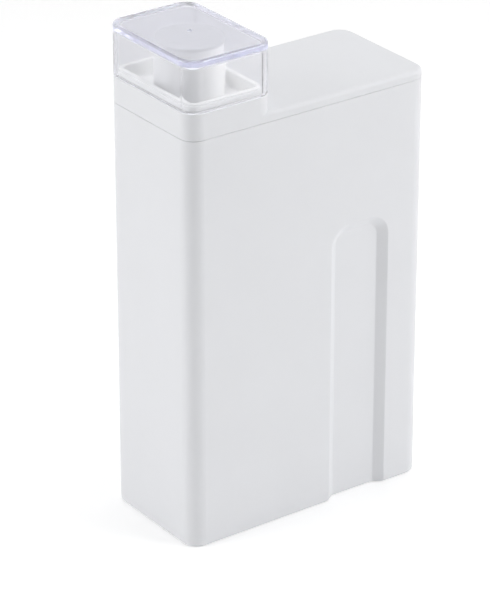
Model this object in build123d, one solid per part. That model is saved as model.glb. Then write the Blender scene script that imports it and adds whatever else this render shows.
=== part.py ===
from build123d import *
import os

# Slim cereal dispenser: a white box, a plug-in lid whose left end rises into a pouring tower,
# a white stopper in the pouring neck, and a clear measuring cap that stands upside down over them.
# Origin: centre of the underside.  +X towards the flat end, -Y is the front, +Z up.  Millimetres.

OVERCUT = 1.0               # how far a cutting or joining solid runs past the face it meets

# overall
LENGTH = 120.0
DEPTH = 58.0
SEAM_Z = 184.0              # where the lid meets the box
LID_TOP_Z = 188.0           # flat part of the lid
LEDGE_Z = 195.5             # ledge of the tower that the cap stands on
TOTAL_Z = 218.0             # top of the cap
CORNER_R = 7.0              # upright corners, shared by box, lid, tower and cap
LEAST_CORNER_R = 1.0        # of an outline drawn in further than that radius
TOWER_LENGTH = 41.5
TOWER_X = (TOWER_LENGTH - LENGTH) / 2

# box
WALL = 1.8
FOOT_DEPTH = 0.8            # hollow under the base, inside the foot rim
FOOT_WIDTH = 4.0
FLOOR_Z = 2.8               # inside floor
BASE_EDGE_R = 1.6
SEAM_EDGE_R = 0.4           # both lips of the seam, and the tower's ledge
FLOOR_EDGE_R = 2.5

# grip recess, one in the front face and one in the back
GRIP_X = 25.8
GRIP_WIDTH = 29.6           # at the face
GRIP_TOP_Z = 128.0
GRIP_CORNER_R = 9.5
GRIP_DEPTH = 2.8
GRIP_SLOPE = 55.0           # of its sides, degrees from straight in
GRIP_WALL_SHIFT = 0.6       # widens the inside bulge so that the wall keeps its thickness
GRIP_FLOOR_EDGE_R = 0.9
GRIP_MOUTH_EDGE_R = 1.2
BELOW_BASE = 10.0           # the recess runs out through the bottom edge

# lid
PLATE = 2.0
LID_EDGE_R = 1.8
PLUG_INSET = WALL + 0.4     # sliding clearance to the box wall
PLUG_BOTTOM_Z = 172.0
PLUG_WALL = 1.6
PLUG_ROOT_WALL = 2.6        # thicker where the gasket groove is
PLUG_ROOT_Z = 178.0
PLUG_CHAMFER = 0.8
TOWER_WALL = 2.0
TOWER_FOOT_R = 0.8          # where the tower's end wall meets the flat lid

# snap bead around the plug, and its groove in the box wall
BEAD_Z = 175.2
BEAD_HEIGHT = 1.0
BEAD_PROUD = 0.2
SNAP_GROOVE_DEPTH = 0.2
SNAP_GROOVE_PLAY = 0.3      # above and below the bead

# gasket between plug and box
GASKET_Z = 179.6
GASKET_HEIGHT = 2.6
GASKET_GROOVE = 1.2
GASKET_SINK = 0.2           # its band lies that far inside the plug's face
GASKET_LIP = 0.7            # thickness of each of its two lips
GASKET_LIP_EDGE = 0.2       # from the lip to the edge of the band
GASKET_GAP = 0.2            # from the lip to the box wall

# pouring neck, in a sunken floor behind a raised rim
RIM_INSET = 3.2
RIM_WALL = 2.0
RIM_TOP_Z = 198.8
RIM_EDGE_R = 0.5
SUNKEN_Z = 192.0
SUNKEN_FLOOR = 1.8
SUNKEN_EDGE_R = 0.8
NECK_R = 13.6
NECK_WALL = 1.6
NECK_TOP_Z = 211.5
NECK_FOOT_R = 0.8
NECK_RIM_R = 0.5

# seal around the rim
SEAL_Z = 196.3
SEAL_HEIGHT = 1.8
SEAL_GROOVE_INSET = 4.0
SEAL_GAP = 0.3              # to the inside of the cap

# stopper
STOPPER_R = NECK_R + 0.6    # its flange overhangs the neck, to be lifted by
STOPPER_TOP_Z = 213.1
STOPPER_BOTTOM_Z = 204.5
STOPPER_GAP = 0.3           # from its plug to the bore
STOPPER_WALL = 1.5
STOPPER_EDGE_R = 0.5

# cap
CAP_WALL = 2.2
CAP_TOP = 3.6
CAP_EDGE_R = 1.2
CAP_INNER_EDGE_R = 1.0
CAP_RIM_R = 0.4
GATE_R = 1.1                # shallow moulding mark in the middle of its closed end
GATE_DEPTH = 0.4


def slab(inset, z0, z1, length=LENGTH, centre_x=0.0):
    """Upright prism of the rounded outline, drawn in by inset on all sides."""
    corner_r = max(CORNER_R - inset, LEAST_CORNER_R)
    outline = RectangleRounded(length - 2 * inset, DEPTH - 2 * inset, corner_r)
    return Pos(centre_x, 0, z0) * extrude(outline, amount=z1 - z0)


def tower_slab(inset, z0, z1):
    """The same prism over the tower's own outline."""
    return slab(inset, z0, z1, TOWER_LENGTH, TOWER_X)


def ring(outer_inset, inner_inset, z0, height, make_slab):
    """Band between two insets of the same outline."""
    hole = make_slab(inner_inset, z0 - OVERCUT, z0 + height + OVERCUT)
    return make_slab(outer_inset, z0, z0 + height) - hole


def disc(radius, z0, z1):
    """Upright cylinder on the axis of the pouring neck."""
    return Pos(TOWER_X, 0, z0) * extrude(Circle(radius), amount=z1 - z0)


def edges_at(solid, z):
    """Edges that lie wholly at height z."""
    return solid.edges().filter_by_position(Axis.Z, z, z)


def grip_block(shift=0.0, depth=GRIP_DEPTH, start=0.0):
    """Solid that fills the front grip recess, optionally wider and starting inside the face."""
    top_z = GRIP_TOP_Z + shift
    height = top_z + BELOW_BASE
    outline = RectangleRounded(GRIP_WIDTH + 2 * shift, height, GRIP_CORNER_R + shift)
    face_plane = Plane((GRIP_X, start - DEPTH / 2, top_z - height / 2), x_dir=(1, 0, 0), z_dir=(0, 1, 0))
    block = extrude(face_plane * outline, amount=depth, taper=GRIP_SLOPE)
    return fillet(block.faces().sort_by(Axis.Y)[-1].edges(), GRIP_FLOOR_EDGE_R)


def both_sides(block):
    """A feature of the front face together with its mirror image in the back."""
    return block + mirror(block, about=Plane.XZ)


def grip_mouth_edges(solid):
    """Edges where the two grip recesses meet the front and back faces."""
    reach = GRIP_WIDTH / 2 + OVERCUT
    across = solid.edges().filter_by_position(Axis.X, GRIP_X - reach, GRIP_X + reach)
    front = across.filter_by_position(Axis.Y, -DEPTH / 2, -DEPTH / 2)
    back = across.filter_by_position(Axis.Y, DEPTH / 2, DEPTH / 2)
    return front + back


def make_box():
    outside = slab(0, 0, SEAM_Z) - both_sides(grip_block())
    outside = fillet(grip_mouth_edges(outside), GRIP_MOUTH_EDGE_R)
    outside = fillet(edges_at(outside, 0), BASE_EDGE_R)
    outside = fillet(edges_at(outside, SEAM_Z), SEAM_EDGE_R)

    inside = slab(WALL, FLOOR_Z, SEAM_Z + OVERCUT)
    inside -= both_sides(grip_block(GRIP_WALL_SHIFT, GRIP_DEPTH, WALL))
    inside = fillet(edges_at(inside, FLOOR_Z), FLOOR_EDGE_R)
    groove_bottom_z = BEAD_Z - SNAP_GROOVE_PLAY
    groove_top_z = BEAD_Z + BEAD_HEIGHT + SNAP_GROOVE_PLAY
    inside += slab(WALL - SNAP_GROOVE_DEPTH, groove_bottom_z, groove_top_z)

    under_grips = both_sides(grip_block(FOOT_WIDTH, GRIP_DEPTH + FOOT_WIDTH))
    under = slab(FOOT_WIDTH, -OVERCUT, FOOT_DEPTH) - under_grips
    return outside - inside - under


def make_lid_shell():
    """Flat plate and tower, before they are hollowed."""
    plate = slab(0, SEAM_Z, LID_TOP_Z)
    plate = fillet(edges_at(plate, LID_TOP_Z), LID_EDGE_R)
    tower = tower_slab(0, SEAM_Z, LEDGE_Z)
    tower = fillet(edges_at(tower, LEDGE_Z), SEAM_EDGE_R)
    shell = plate + tower
    foot = edges_at(shell, LID_TOP_Z).filter_by_position(Axis.X, TOWER_X, TOWER_X + TOWER_LENGTH)
    shell = fillet(foot, TOWER_FOOT_R)
    return fillet(edges_at(shell, SEAM_Z), SEAM_EDGE_R)


def add_neck(shell):
    """Raise the rim on the tower, sink the floor inside it and stand the neck there."""
    shell += tower_slab(RIM_INSET, LEDGE_Z - OVERCUT, RIM_TOP_Z)
    sunken = tower_slab(RIM_INSET + RIM_WALL, SUNKEN_Z, RIM_TOP_Z + OVERCUT)
    shell -= fillet(edges_at(sunken, SUNKEN_Z), SUNKEN_EDGE_R)
    shell = fillet(edges_at(shell, RIM_TOP_Z), RIM_EDGE_R)
    shell += disc(NECK_R, SUNKEN_Z - OVERCUT, NECK_TOP_Z)
    foot = shell.edges().filter_by(GeomType.CIRCLE).filter_by_position(Axis.Z, SUNKEN_Z, SUNKEN_Z)
    return fillet(foot.sort_by(SortBy.RADIUS)[-1], NECK_FOOT_R)


def make_plug():
    """Plug that goes into the box, with its snap bead, before it is hollowed."""
    plug = slab(PLUG_INSET, PLUG_BOTTOM_Z, SEAM_Z + OVERCUT)
    plug = chamfer(edges_at(plug, PLUG_BOTTOM_Z), PLUG_CHAMFER)
    bead = slab(PLUG_INSET - BEAD_PROUD, BEAD_Z, BEAD_Z + BEAD_HEIGHT)
    return plug + fillet(bead.edges().filter_by(Plane.XY), BEAD_PROUD)


def make_tower_hollow():
    """Space under the tower's sunken floor, down to the plug."""
    end_inset = PLUG_INSET + PLUG_ROOT_WALL
    length = TOWER_LENGTH - end_inset - TOWER_WALL
    centre_x = (end_inset - TOWER_WALL) / 2 + TOWER_X
    outline = RectangleRounded(length, DEPTH - 2 * end_inset, CORNER_R - end_inset)
    return Pos(centre_x, 0, PLUG_ROOT_Z) * extrude(outline, amount=SUNKEN_Z - SUNKEN_FLOOR - PLUG_ROOT_Z)


def make_lid_hollow():
    """All the space inside the lid, with the bore of the neck."""
    hollow = slab(PLUG_INSET + PLUG_WALL, PLUG_BOTTOM_Z - OVERCUT, PLUG_ROOT_Z)
    hollow += slab(PLUG_INSET + PLUG_ROOT_WALL, PLUG_ROOT_Z - OVERCUT, LID_TOP_Z - PLATE)
    hollow += make_tower_hollow()
    return hollow + disc(NECK_R - NECK_WALL, SUNKEN_Z - SUNKEN_FLOOR - OVERCUT, NECK_TOP_Z + OVERCUT)


def make_lid():
    lid = add_neck(make_lid_shell()) + make_plug() - make_lid_hollow()
    lid = fillet(edges_at(lid, NECK_TOP_Z), NECK_RIM_R)
    lid -= ring(PLUG_INSET - OVERCUT, PLUG_INSET + GASKET_GROOVE, GASKET_Z, GASKET_HEIGHT, slab)
    lid -= ring(RIM_INSET - OVERCUT, SEAL_GROOVE_INSET, SEAL_Z, SEAL_HEIGHT, tower_slab)
    return lid


def make_gasket():
    inner = PLUG_INSET + GASKET_GROOVE
    gasket = ring(PLUG_INSET + GASKET_SINK, inner, GASKET_Z, GASKET_HEIGHT, slab)
    low_lip_z = GASKET_Z + GASKET_LIP_EDGE
    high_lip_z = GASKET_Z + GASKET_HEIGHT - GASKET_LIP - GASKET_LIP_EDGE
    for lip_z in (low_lip_z, high_lip_z):
        gasket += ring(WALL + GASKET_GAP, inner, lip_z, GASKET_LIP, slab)
    return gasket


def make_seal():
    return ring(CAP_WALL + SEAL_GAP, SEAL_GROOVE_INSET, SEAL_Z, SEAL_HEIGHT, tower_slab)


def make_stopper():
    flange = disc(STOPPER_R, NECK_TOP_Z, STOPPER_TOP_Z)
    flange = fillet(flange.edges(), STOPPER_EDGE_R)
    plug_r = NECK_R - NECK_WALL - STOPPER_GAP
    plug = disc(plug_r, STOPPER_BOTTOM_Z, NECK_TOP_Z + STOPPER_EDGE_R)
    plug = chamfer(edges_at(plug, STOPPER_BOTTOM_Z), STOPPER_EDGE_R)
    return flange + plug - disc(plug_r - STOPPER_WALL, STOPPER_BOTTOM_Z - OVERCUT, NECK_TOP_Z)


def make_cap():
    outside = tower_slab(0, LEDGE_Z, TOTAL_Z)
    outside = fillet(edges_at(outside, TOTAL_Z), CAP_EDGE_R)
    inside = tower_slab(CAP_WALL, LEDGE_Z - OVERCUT, TOTAL_Z - CAP_TOP)
    inside = fillet(edges_at(inside, TOTAL_Z - CAP_TOP), CAP_INNER_EDGE_R)
    cap = fillet(edges_at(outside - inside, LEDGE_Z), CAP_RIM_R)
    return cap - disc(GATE_R, TOTAL_Z - GATE_DEPTH, TOTAL_Z + OVERCUT)


os.makedirs("parts", exist_ok=True)
export_step(make_box(), "parts/container_box.step")
export_step(make_lid(), "parts/container_lid.step")
export_step(make_gasket(), "parts/lid_gasket.step")
export_step(make_seal(), "parts/neck_seal.step")
export_step(make_stopper(), "parts/neck_stopper.step")
export_step(make_cap(), "parts/measuring_cap.step")
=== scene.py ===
import bpy
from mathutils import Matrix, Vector


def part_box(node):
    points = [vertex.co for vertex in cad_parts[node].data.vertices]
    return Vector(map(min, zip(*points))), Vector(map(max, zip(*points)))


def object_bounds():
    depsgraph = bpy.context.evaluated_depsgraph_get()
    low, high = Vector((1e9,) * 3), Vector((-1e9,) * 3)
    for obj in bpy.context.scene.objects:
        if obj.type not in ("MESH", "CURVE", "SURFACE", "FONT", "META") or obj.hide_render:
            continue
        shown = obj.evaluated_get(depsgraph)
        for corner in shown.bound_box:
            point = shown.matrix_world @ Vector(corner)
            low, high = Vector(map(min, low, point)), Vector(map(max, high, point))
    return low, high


# Looks of the cereal dispenser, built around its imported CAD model.  Metres, in the CAD model's own frame.

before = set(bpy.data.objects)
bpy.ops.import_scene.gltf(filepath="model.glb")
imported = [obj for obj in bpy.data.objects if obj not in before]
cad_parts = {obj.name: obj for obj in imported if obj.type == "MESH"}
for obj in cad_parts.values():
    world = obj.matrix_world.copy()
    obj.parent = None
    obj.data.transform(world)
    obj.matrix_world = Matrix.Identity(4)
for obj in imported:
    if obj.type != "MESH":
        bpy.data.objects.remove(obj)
cad_low, cad_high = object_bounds()
cap_low, cap_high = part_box("measuring_cap")
stopper_low, stopper_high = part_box("neck_stopper")

MM = 0.001
MIDDLE = (cad_low + cad_high) / 2

NECK_X = (cap_low.x + cap_high.x) / 2
STOPPER_R = (stopper_high.x - stopper_low.x) / 2    # a little more than the neck's own radius
LEDGE_Z = cap_low.z                                 # ledge of the lid's tower that the cap stands on
PAN_DEPTH = 3.5 * MM                                # from the ledge down to the sunken floor around the neck
PAN_INSET = 5.2 * MM                                # from the tower's outline in to the sunken floor
CAP_PLATE = 3.6 * MM                                # thickness of the cap's closed end

WHITE = (0.714, 0.721, 0.743)
CLOUD_LIFT = 1.02                                   # brightest part of the white plastic's slow clouds
# Painted shade: the stopper is a darker copy of the white plastic, so that its lit top looks as dim as the
# grey around it through the cap.
STOPPER_PAINTED_SHADE_TONE = 0.82
# Painted light: paler lid colours for the rim and the sunken floor under the cap, brighter toward the right
# where the neck's shadow falls.
RIM_PAINTED_LIGHT_LEFT, RIM_PAINTED_LIGHT_RIGHT = (0.80, 0.805, 0.81), (0.90, 0.90, 0.90)
PAN_PAINTED_LIGHT_LEFT, PAN_PAINTED_LIGHT_RIGHT = (0.82, 0.825, 0.83), (0.98, 0.98, 0.98)
SILICONE_DARK, SILICONE_PALE = (0.79, 0.795, 0.81), (0.81, 0.815, 0.83)
CAP_SIDES, CAP_CLOSED_END = (0.962, 0.962, 0.97), (0.95, 0.95, 1.0)
CAP_ABSORBS = (0.4, 0.47, 1.0)
CAP_DENSITY = 6.0
FLOOR_DARK, FLOOR_PALE = (0.93, 0.93, 0.93), (0.95, 0.95, 0.95)
FLOOR_GLOW = 0.19
FLOOR_THROUGH_CAP, CARD_THROUGH_CAP = (0.672, 0.677, 0.712), (0.02, 0.02, 0.03)
UNTINTED = (1.0, 1.0, 1.0)

FLOOR_SIZE = 12.0
CARD_X = 0.3                                        # the card's near side; it has no far side
CARD_Y = (-0.3, 0.45)
CARD_BLUR = (0.05, 0.07)                            # width of its soft edges, along X and Y in turn
SOFTBOX_DISTANCE = 1.2
SOFTBOXES = {                                       # direction from the object, side length, watts
    "front_right": ((0.64, -0.64, 0.42), 0.8, 6.7),
    "back_left": ((-0.88, 0.42, 0.30), 0.8, 5.65),
    "overhead": ((0.05, 0.1, 1.0), 0.9, 6.8),
}
WORLD_LIGHTING = 0.37                               # strength by which the surroundings light the object
WORLD_SEEN = 0.8                                    # strength with which they are looked at or mirrored
WORLD_DARK = 0.1                                    # the same, in the dark patch toward the front left
DARK_TOWARD = (-0.55, -0.80, 0.25)
DARK_COSINES = (0.80, 0.90)                         # edge and full dark, as cosines from its middle
BOUNCES = 32                                        # the cap's edges need many

CAMERA_OFFSET = (-0.7572, -1.0281, 0.6016)          # from the object's middle
CAMERA_FORWARD = (0.52727, 0.72756, -0.43891)
CAMERA_LENS = 201.8
CAMERA_SENSOR = 36
CAMERA_CLIP = (0.05, 20)


# ---------------------------------------------------------------- node helpers

class Graph:
    """The nodes of a material or world, with short calls for those that are needed often."""

    def __init__(self, owner):
        owner.use_nodes = True
        self.owner = owner
        self.nodes = owner.node_tree.nodes
        self.links = owner.node_tree.links

    def add(self, kind):
        return self.nodes.new(kind)

    def put(self, value, socket):
        """Gives a socket a number, a colour or the output of another node."""
        if isinstance(value, bpy.types.NodeSocket):
            self.links.new(value, socket)
        elif isinstance(value, tuple) and socket.type == "RGBA":
            socket.default_value = (*value, 1)
        else:
            socket.default_value = value

    def set(self, node, **values):
        for name, value in values.items():
            self.put(value, node.inputs[name.replace("_", " ")])

    def place(self):
        """Position in the frame, in metres."""
        return self.add("ShaderNodeTexCoord").outputs["Object"]

    def axes(self):
        """The position's X, Y and Z."""
        node = self.add("ShaderNodeSeparateXYZ")
        self.links.new(self.place(), node.inputs[0])
        return node.outputs

    def noise(self, size, detail=2.0, roughness=0.5):
        """Noise whose grains are about size metres wide."""
        node = self.add("ShaderNodeTexNoise")
        self.set(node, Vector=self.place(), Scale=1 / size, Detail=detail, Roughness=roughness)
        return node.outputs["Fac"]

    def span(self, source, low, high, start=0.3, end=0.7):
        """source from start..end brought to low..high."""
        node = self.add("ShaderNodeMapRange")
        self.set(node, Value=source, From_Min=start, From_Max=end, To_Min=low, To_Max=high)
        return node.outputs["Result"]

    def math(self, operation, *values):
        """A number made from numbers and node outputs, taken two at a time where there are more."""
        node = self.add("ShaderNodeMath")
        node.operation = operation
        for value, socket in zip(values, node.inputs[:2]):
            self.put(value, socket)
        rest = values[2:]
        return self.math(operation, node.outputs[0], *rest) if rest else node.outputs[0]

    def mix(self, share, first, second):
        """A colour between first and second."""
        node = self.add("ShaderNodeMix")
        node.data_type = "RGBA"
        self.set(node, Factor=share, A=first, B=second)
        return node.outputs["Result"]

    def either(self, share, first, second):
        """A shader between first and second."""
        node = self.add("ShaderNodeMixShader")
        for value, socket in zip((share, first, second), node.inputs):
            self.links.new(value, socket)
        return node.outputs[0]

    def bump(self, height, distance, strength=1.0, after=None):
        """A bump of that height in metres, on top of the bump after."""
        node = self.add("ShaderNodeBump")
        self.set(node, Height=height, Distance=distance, Strength=strength)
        if after is not None:
            self.set(node, Normal=after)
        return node.outputs["Normal"]


def new_material(name):
    """A graph for a new material, and its Principled shader."""
    g = Graph(bpy.data.materials.new(name))
    return g, g.nodes["Principled BSDF"]


# ---------------------------------------------------------------- materials

def white_plastic(name, painted_shade_tone=1.0, painted_light=None):
    """Satin polypropylene: a fine moulded grain, slow waves of shrinkage, and a faint cool cast."""
    g, shader = new_material(name)
    # A tone below 1 darkens the whole plastic, as painted shade.
    base = tuple(painted_shade_tone * part for part in WHITE)
    lifted = tuple(CLOUD_LIFT * part for part in base)
    colour = g.mix(g.span(g.noise(0.035, detail=3), 0, 1), base, lifted)
    # Painted light where the given mask says, in the paler colour that goes with it.
    if painted_light:
        share, painted_light_colour = painted_light(g)
        colour = g.mix(share, colour, painted_light_colour)
    roughness = g.span(g.noise(0.004, detail=4), 0.42, 0.50)
    waves = g.bump(g.noise(0.03, detail=1), 0.12 * MM)
    grain = g.bump(g.noise(0.6 * MM, detail=3, roughness=0.6), 0.02 * MM, 0.6, after=waves)
    g.set(shader, Base_Color=colour, Roughness=roughness, Normal=grain)
    g.set(shader, IOR=1.49, Specular_IOR_Level=0.4, Subsurface_Weight=0.12, Subsurface_Scale=1.5 * MM)
    g.set(shader, Subsurface_Radius=(1.0, 0.95, 0.9))
    return g.owner


def painted_light_under_cap(g):
    """Painted light on the lid under the cap: where it goes, as 0 to 1, and the paler colour painted there.

    The rim and the sunken floor are painted paler than the lid, more so toward the right, standing in for
    the light that the cap and the neck's shadow take from them; the neck's right side is painted paler too,
    less and less toward its left side, which stays in the lid's own colour.
    """
    x, y, z = g.axes()
    along = g.math("ABSOLUTE", g.math("SUBTRACT", x, NECK_X))
    across = g.math("ABSOLUTE", y)
    squares = [g.math("MULTIPLY", side, side) for side in (along, across)]
    radius = g.math("SQRT", g.math("ADD", *squares))
    off_neck = g.span(radius, 0, 1, STOPPER_R - 0.4 * MM, STOPPER_R + 0.4 * MM)

    def within(distance, reach):
        return g.span(distance, 1, 0, reach + 0.3 * MM, reach + 0.6 * MM)

    in_length = within(along, (cap_high.x - cap_low.x) / 2 - PAN_INSET)
    in_width = within(across, (cap_high.y - cap_low.y) / 2 - PAN_INSET)
    pan_z = LEDGE_Z - PAN_DEPTH
    above_floor = g.span(z, 0, 1, pan_z - 1.0 * MM, pan_z - 0.5 * MM)
    # The neck's right side gets the painted light too, fading out toward its left.
    neck_painted_light_share = g.span(x, 0, 1, NECK_X - 12.75 * MM, NECK_X + 4.25 * MM)
    pan_painted_light_mask = g.math("MULTIPLY", in_length, in_width, above_floor, g.math("MAXIMUM", off_neck, neck_painted_light_share))
    rim_painted_light_mask = g.math("MULTIPLY", off_neck, g.span(z, 0, 1, LEDGE_Z - 0.1 * MM, LEDGE_Z))

    # Painted light, paler toward the right, where the neck's shadow falls on the sunken floor.
    painted_light_rightward = g.span(x, 0, 1, NECK_X - 10.75 * MM, NECK_X + 9.25 * MM)
    rim_painted_light_colour = g.mix(painted_light_rightward, RIM_PAINTED_LIGHT_LEFT, RIM_PAINTED_LIGHT_RIGHT)
    pan_painted_light_colour = g.mix(painted_light_rightward, PAN_PAINTED_LIGHT_LEFT, PAN_PAINTED_LIGHT_RIGHT)
    return g.math("MAXIMUM", pan_painted_light_mask, rim_painted_light_mask), g.mix(pan_painted_light_mask, rim_painted_light_colour, pan_painted_light_colour)


def silicone():
    """Milky silicone."""
    g, shader = new_material("silicone")
    colour = g.mix(g.span(g.noise(0.006, detail=3), 0, 1), SILICONE_DARK, SILICONE_PALE)
    roughness = g.span(g.noise(0.002, detail=3), 0.34, 0.46)
    grain = g.bump(g.noise(0.9 * MM), 0.02 * MM, 0.5)
    g.set(shader, Base_Color=colour, Roughness=roughness, Normal=grain)
    g.set(shader, IOR=1.41, Subsurface_Weight=0.3, Subsurface_Scale=2 * MM, Subsurface_Radius=UNTINTED)
    return g.owner


def clear_plastic():
    """Clear, faintly hazy plastic, cool in its closed end and blue where light runs a long way through it.

    Light that falls on or comes from the pieces inside passes straight through it.
    """
    g, shader = new_material("clear_plastic")
    closed_end_z = cap_high.z - CAP_PLATE
    closed_end = g.span(g.axes()["Z"], 0, 1, closed_end_z - 0.4 * MM, closed_end_z + 1.1 * MM)
    colour = g.mix(closed_end, CAP_SIDES, CAP_CLOSED_END)
    g.set(shader, Base_Color=colour, Normal=g.bump(g.noise(0.008, detail=1), 0.03 * MM))
    g.set(shader, Transmission_Weight=0.92, IOR=1.5, Roughness=0.1)
    straight = g.add("ShaderNodeBsdfTransparent")
    g.set(straight, Color=UNTINTED)
    light_path = g.add("ShaderNodeLightPath").outputs
    surface = g.either(light_path["Is Diffuse Ray"], shader.outputs[0], straight.outputs[0])
    surface = g.either(light_path["Is Shadow Ray"], surface, straight.outputs[0])
    absorb = g.add("ShaderNodeVolumeAbsorption")
    g.set(absorb, Color=CAP_ABSORBS, Density=CAP_DENSITY)
    g.set(g.nodes["Material Output"], Surface=surface, Volume=absorb.outputs[0])
    return g.owner


def pale_floor():
    """White floor, which shows through the cap as a greyer one with a dark card to the right."""
    g, shader = new_material("pale_floor")
    g.set(shader, Base_Color=g.mix(g.noise(0.3, detail=2), FLOOR_DARK, FLOOR_PALE), Roughness=0.9)
    g.set(shader, Emission_Color=UNTINTED, Emission_Strength=FLOOR_GLOW)
    x, y, _ = g.axes()
    front, back = CARD_Y
    past_front = g.span(y, 0, 1, front, front + CARD_BLUR[0])
    before_back = g.span(y, 1, 0, back - CARD_BLUR[1], back)
    card = g.math("MULTIPLY", past_front, before_back, g.span(x, 0, 1, CARD_X, CARD_X + CARD_BLUR[0]))
    through_cap = g.add("ShaderNodeEmission")
    g.set(through_cap, Color=g.mix(card, FLOOR_THROUGH_CAP, CARD_THROUGH_CAP))
    seen_through = g.add("ShaderNodeLightPath").outputs["Is Transmission Ray"]
    surface = g.either(seen_through, shader.outputs[0], through_cap.outputs[0])
    g.set(g.nodes["Material Output"], Surface=surface)
    return g.owner


def paint(node, material):
    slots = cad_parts[node].data.materials
    slots.clear()
    slots.append(material)


# ---------------------------------------------------------------- stage

def add_floor():
    bpy.ops.mesh.primitive_plane_add(size=FLOOR_SIZE, location=(0, 0, cad_low.z))
    floor = bpy.context.object
    floor.name = "floor"
    floor.data.materials.append(pale_floor())


def add_softbox(name, toward, size, power):
    """A square area light in the direction toward from the object's middle, turned to face it."""
    direction = Vector(toward).normalized()
    light = bpy.data.lights.new(name, "AREA")
    light.shape = "SQUARE"
    light.size = size
    light.energy = power
    lamp = bpy.data.objects.new(name, light)
    lamp.location = MIDDLE + direction * SOFTBOX_DISTANCE
    lamp.rotation_mode = "QUATERNION"
    lamp.rotation_quaternion = direction.to_track_quat("Z", "Y")
    bpy.context.scene.collection.objects.link(lamp)


def add_world():
    """White surroundings, brighter where they are looked at, mirrored or seen through the cap."""
    g = Graph(bpy.data.worlds.new("studio"))
    light_path = g.add("ShaderNodeLightPath").outputs
    rays = [light_path[ray] for ray in ("Is Camera Ray", "Is Glossy Ray", "Is Transmission Ray")]
    looked_at = g.math("MAXIMUM", *rays)
    toward_dark = g.add("ShaderNodeVectorMath")
    toward_dark.operation = "DOT_PRODUCT"
    toward_dark.inputs[1].default_value = Vector(DARK_TOWARD).normalized()
    g.links.new(g.add("ShaderNodeTexCoord").outputs["Generated"], toward_dark.inputs[0])
    seen = g.span(toward_dark.outputs["Value"], WORLD_SEEN, WORLD_DARK, *DARK_COSINES)
    strength = g.span(looked_at, WORLD_LIGHTING, seen, 0, 1)
    g.set(g.nodes["Background"], Color=UNTINTED, Strength=strength)
    bpy.context.scene.world = g.owner


def add_camera():
    """Seen from the front left, 26 degrees above the floor, through a long lens."""
    camera = bpy.data.cameras.new("camera")
    camera.sensor_width = CAMERA_SENSOR
    camera.lens = CAMERA_LENS
    camera.clip_start, camera.clip_end = CAMERA_CLIP
    holder = bpy.data.objects.new("camera", camera)
    holder.location = MIDDLE + Vector(CAMERA_OFFSET)
    holder.rotation_mode = "QUATERNION"
    holder.rotation_quaternion = (-Vector(CAMERA_FORWARD)).to_track_quat("Z", "Y")
    bpy.context.scene.collection.objects.link(holder)
    bpy.context.scene.camera = holder


add_camera()
add_world()
for box_name, (box_toward, box_size, box_power) in SOFTBOXES.items():
    add_softbox(box_name, box_toward, box_size, box_power)
add_floor()
paint("container_box", white_plastic("white_plastic_box"))
# The lid gets painted light under the cap.
paint("container_lid", white_plastic("white_plastic_cover_painted_light", painted_light=painted_light_under_cap))
paint("lid_gasket", silicone())
paint("neck_seal", silicone())
# The stopper is a darker copy of the white plastic, as painted shade.
paint("neck_stopper", white_plastic("white_plastic_stopper", painted_shade_tone=STOPPER_PAINTED_SHADE_TONE))
paint("measuring_cap", clear_plastic())
bpy.context.scene.view_settings.view_transform = "Standard"
for kind in ("max_bounces", "transmission_bounces", "glossy_bounces"):
    setattr(bpy.context.scene.cycles, kind, BOUNCES)
